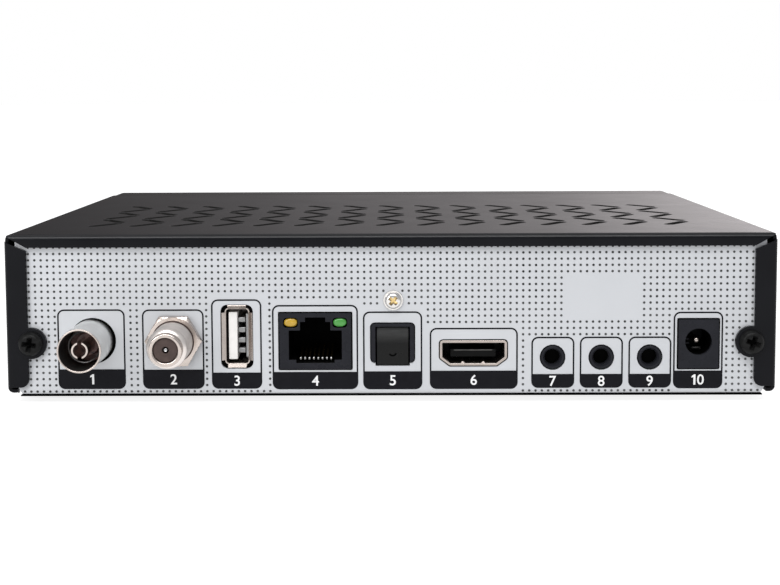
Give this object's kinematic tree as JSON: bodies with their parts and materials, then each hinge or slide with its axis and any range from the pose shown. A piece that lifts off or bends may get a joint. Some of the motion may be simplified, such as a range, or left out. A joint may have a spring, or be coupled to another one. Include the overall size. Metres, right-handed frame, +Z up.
{
  "type": "satellite television receiver",
  "caption": "Flat black satellite television receiver of folded sheet steel, with slotted vents in its top and a light grey rear panel of aerial, data, video, audio and power sockets.",
  "frame": {"origin": "on the ground, under the middle of the whole object", "axes": "+Z up, +Y out of the rear panel with the sockets, -Y out of the front panel, +X towards the aerial sockets, to the left for someone who looks at the rear panel"},
  "size_m": [0.17, 0.1314, 0.0378],
  "materials": {
    "cover_paint": "black satin powder coat, very fine texture",
    "panel_paint": "light grey enamel with a printed grid of fine dots, satin",
    "foot_rubber": "black, matt",
    "black_screw": "black oxide, satin",
    "bright_screw": "bright zinc plate",
    "satin_nickel": "satin nickel plate",
    "warm_nickel": "warm nickel plate, semi-bright",
    "brown_insulator": "moulded insulator, brown",
    "white_insulator": "moulded insulator, white",
    "socket_plastic": "moulded black plastic, fine grain",
    "front_plastic": "moulded black plastic, polished",
    "smoked_window": "smoked acrylic, polished",
    "gold_plate": "gold plate",
    "amber_lens": "amber lens",
    "green_lens": "green lens",
    "red_lens": "red lens",
    "circuit_board": "green solder resist on glass and epoxy",
    "tinned_steel": "tinned sheet",
    "chip_resin": "moulded black resin",
    "black_anodised": "black anodised extrusion",
    "capacitor_sleeve": "shrunk sleeve, dark"
  },
  "bodies": {
    "case": {"top_cover": "cover_paint", "chassis": "panel_paint", "foot_front_left": "foot_rubber", "foot_front_right": "foot_rubber", "foot_rear_left": "foot_rubber", "foot_rear_right": "foot_rubber", "cover_screw_left": "black_screw", "cover_screw_right": "black_screw", "panel_screw": "bright_screw", "board_screw_left": "bright_screw", "board_screw_right": "bright_screw", "main_board": "circuit_board", "aerial_tuner_can": "tinned_steel", "dish_tuner_can": "tinned_steel", "aerial_socket_shell": "satin_nickel", "aerial_socket_insulator": "brown_insulator", "aerial_socket_contact": "satin_nickel", "dish_socket_body": "warm_nickel", "dish_socket_insulator": "brown_insulator", "dish_socket_nut": "warm_nickel", "usb_socket_shell": "warm_nickel", "usb_socket_tongue": "white_insulator", "network_socket_housing": "socket_plastic", "network_socket_contacts": "gold_plate", "network_lamp_amber": "amber_lens", "network_lamp_green": "green_lens", "optical_socket_housing": "socket_plastic", "media_socket_shell": "warm_nickel", "media_socket_tongue": "socket_plastic", "service_jack": "socket_plastic", "sound_and_picture_jack": "socket_plastic", "remote_eye_jack": "socket_plastic", "power_jack_housing": "socket_plastic", "power_jack_pin": "bright_screw", "ground_bracket": "tinned_steel", "front_panel": "front_plastic", "display_window": "smoked_window", "front_board": "circuit_board", "display_module": "chip_resin", "infrared_receiver": "chip_resin", "standby_lamp": "red_lens", "board_header": "chip_resin", "main_chip": "chip_resin", "heat_sink": "black_anodised", "memory_chip": "chip_resin", "capacitor_1": "capacitor_sleeve", "capacitor_2": "capacitor_sleeve", "capacitor_3": "capacitor_sleeve", "power_inductor": "chip_resin", "crystal_can": "tinned_steel", "power_switch": "chip_resin", "channel_down_switch": "chip_resin", "channel_up_switch": "chip_resin"},
    "power_key": {"power_button": "front_plastic", "power_plunger": "white_insulator"},
    "channel_down_key": {"channel_down_button": "front_plastic", "channel_down_plunger": "white_insulator"},
    "channel_up_key": {"channel_up_button": "front_plastic", "channel_up_plunger": "white_insulator"},
    "shutter": {"optical_socket_shutter": "socket_plastic"}
  },
  "joints": [
    {"name": "power_press", "type": "slide", "parent": "case", "child": "power_key", "axis": [0, 1, 0], "range_m": [0, 0.0005], "stiffness_N_per_m": 800},
    {"name": "channel_down_press", "type": "slide", "parent": "case", "child": "channel_down_key", "axis": [0, 1, 0], "range_m": [0, 0.0005], "stiffness_N_per_m": 800},
    {"name": "channel_up_press", "type": "slide", "parent": "case", "child": "channel_up_key", "axis": [0, 1, 0], "range_m": [0, 0.0005], "stiffness_N_per_m": 800},
    {"name": "shutter_swing", "type": "hinge", "parent": "case", "child": "shutter", "pos_m": [-0.00055, 0.05335, 0.0164], "axis": [-1, 0, 0], "range_deg": [0, 85], "stiffness_Nm_per_rad": 0.0004}
  ]
}
